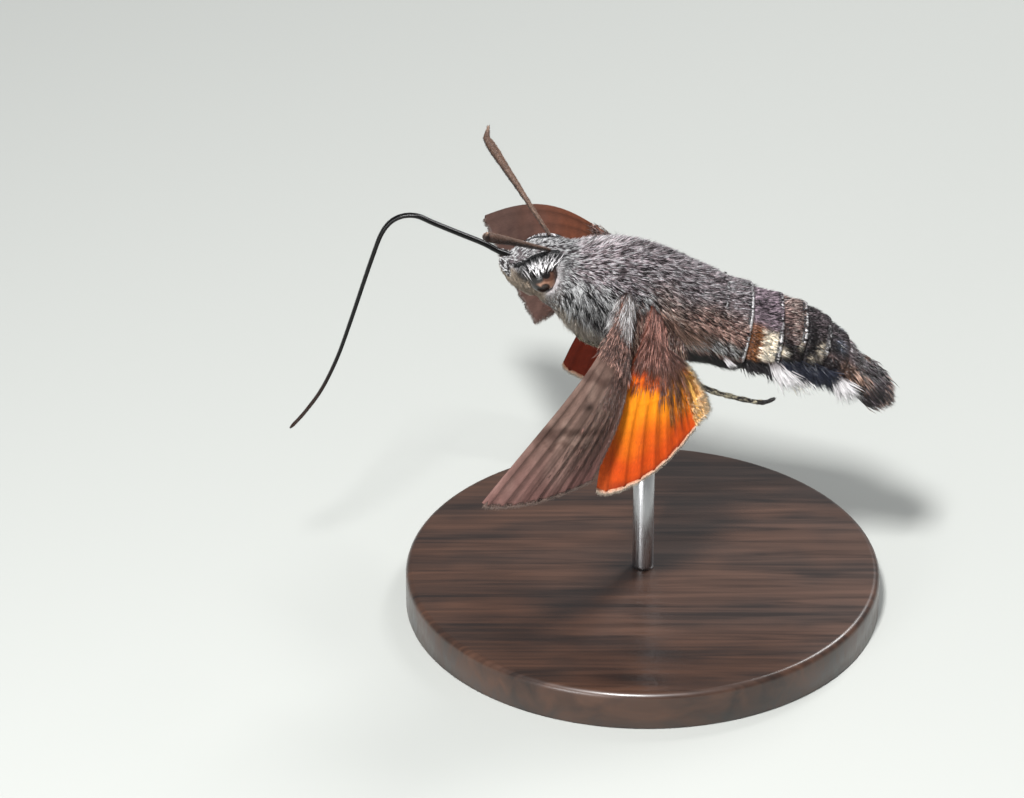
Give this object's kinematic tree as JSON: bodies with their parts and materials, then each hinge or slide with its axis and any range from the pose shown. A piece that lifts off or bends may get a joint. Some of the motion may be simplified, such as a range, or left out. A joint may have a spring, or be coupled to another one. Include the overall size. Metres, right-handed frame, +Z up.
{
  "type": "hummingbird hawk moth on a display stand",
  "caption": "Life-size still model of a hovering hummingbird hawk moth with its long tongue let down, held by a rod on a round base.",
  "frame": {"origin": "centre of the underside of the stand's round base", "axes": "+Z up, the moth's head towards -X and its left side towards -Y"},
  "size_m": [0.0453, 0.0427, 0.0365],
  "materials": {
    "fur_brown": "short soft fur of light and dark hairs",
    "fur_pale": "close pale scales",
    "fur_abdomen": "short fur with tufts of long scales",
    "fur_tail": "long flat scales",
    "eye": "smooth, glossy",
    "feeler": "matte, finely scaled",
    "tongue": "dark, glossy",
    "leg": "matte, scaled",
    "forewing": "powdery scales",
    "hindwing": "powdery scales",
    "stand_base": "dark, satin varnish",
    "stand_rod": "satin"
  },
  "bodies": {
    "root": {"head": "fur_brown", "palp_left": "fur_pale", "palp_right": "fur_pale", "eye_left": "eye", "eye_right": "eye", "antenna_left": "feeler", "antenna_right": "feeler", "proboscis_1": "tongue", "proboscis_2": "tongue", "proboscis_3": "tongue", "thorax": "fur_brown", "abdomen": "fur_abdomen", "tail_fan": "fur_tail", "forewing_left": "forewing", "forewing_right": "forewing", "hindwing_left": "hindwing", "hindwing_right": "hindwing", "leg_fore_left": "leg", "leg_fore_right": "leg", "leg_mid_left": "leg", "leg_mid_right": "leg", "leg_hind_left": "leg", "leg_hind_right": "leg", "stand_base": "stand_base", "stand_rod": "stand_rod"}
  },
  "joints": []
}
